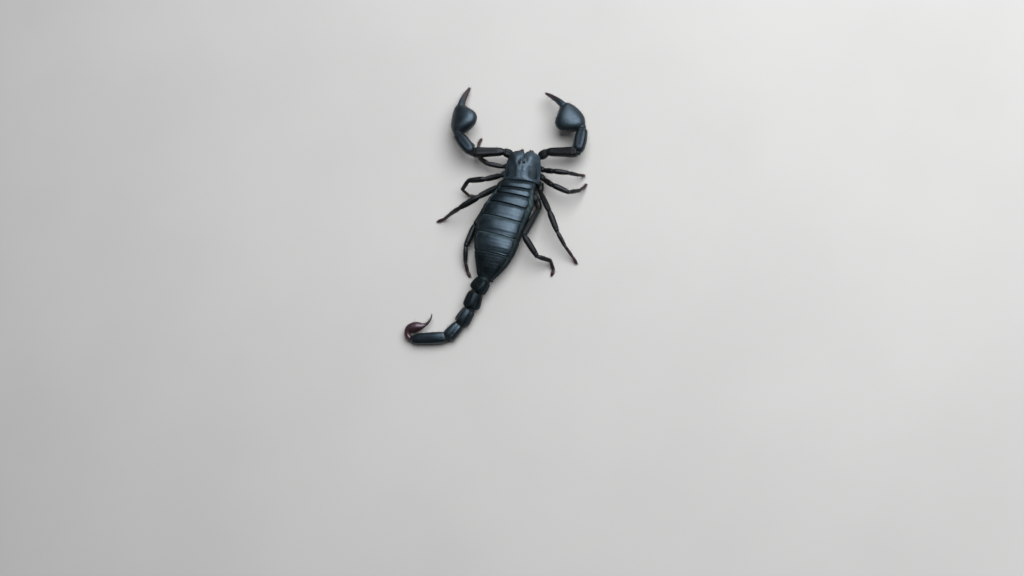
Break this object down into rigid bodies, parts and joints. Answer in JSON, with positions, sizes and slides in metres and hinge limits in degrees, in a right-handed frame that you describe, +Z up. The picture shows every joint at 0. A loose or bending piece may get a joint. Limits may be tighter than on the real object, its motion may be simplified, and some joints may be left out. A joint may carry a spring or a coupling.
{
  "type": "scorpion",
  "caption": "Still life-size model of a black forest scorpion resting flat on its feet, rounded claws held forward, tail laid behind and curled to one side.",
  "frame": {"origin": "middle of the model's footprint at the level its feet stand on", "axes": "+Y towards the head, +X to the animal's right, +Z up"},
  "size_m": [0.08, 0.1358, 0.0138],
  "materials": {
    "shell": "bluish black hard shell, softly glossy and finely grained",
    "limb_shell": "black hard shell, softly glossy, with fine ridges",
    "tip_shell": "dark reddish-brown hard shell, glossy",
    "membrane": "dull grey-brown folded skin",
    "eye": "clear gloss black"
  },
  "bodies": {
    "root": {"carapace": "shell", "chela_finger_left": "tip_shell", "chela_finger_right": "tip_shell", "chela_hand_left": "limb_shell", "chela_hand_right": "limb_shell", "chelicera_left": "tip_shell", "chelicera_right": "tip_shell", "genital_operculum": "limb_shell", "leg_bases_left": "limb_shell", "leg_bases_right": "limb_shell", "leg_left_1_lower": "tip_shell", "leg_left_1_upper": "limb_shell", "leg_left_2_lower": "tip_shell", "leg_left_2_upper": "limb_shell", "leg_left_3_lower": "tip_shell", "leg_left_3_upper": "limb_shell", "leg_left_4_lower": "tip_shell", "leg_left_4_upper": "limb_shell", "leg_right_1_lower": "tip_shell", "leg_right_1_upper": "limb_shell", "leg_right_2_lower": "tip_shell", "leg_right_2_upper": "limb_shell", "leg_right_3_lower": "tip_shell", "leg_right_3_upper": "limb_shell", "leg_right_4_lower": "tip_shell", "leg_right_4_upper": "limb_shell", "median_eye_left": "eye", "median_eye_right": "eye", "metasoma_1": "shell", "metasoma_2": "shell", "metasoma_3": "shell", "metasoma_4": "shell", "metasoma_5": "shell", "pectine_left": "limb_shell", "pectine_right": "limb_shell", "pedipalp_coxa_left": "limb_shell", "pedipalp_coxa_right": "limb_shell", "pedipalp_femur_left": "limb_shell", "pedipalp_femur_right": "limb_shell", "pedipalp_patella_left": "limb_shell", "pedipalp_patella_right": "limb_shell", "pedipalp_trochanter_left": "limb_shell", "pedipalp_trochanter_right": "limb_shell", "pleura": "membrane", "sternite_3": "limb_shell", "sternite_4": "limb_shell", "sternite_5": "limb_shell", "sternite_6": "limb_shell", "sternite_7": "limb_shell", "sternum": "limb_shell", "telson": "tip_shell", "tergite_1": "shell", "tergite_2": "shell", "tergite_3": "shell", "tergite_4": "shell", "tergite_5": "shell", "tergite_6": "shell", "tergite_7": "shell"}
  },
  "joints": []
}
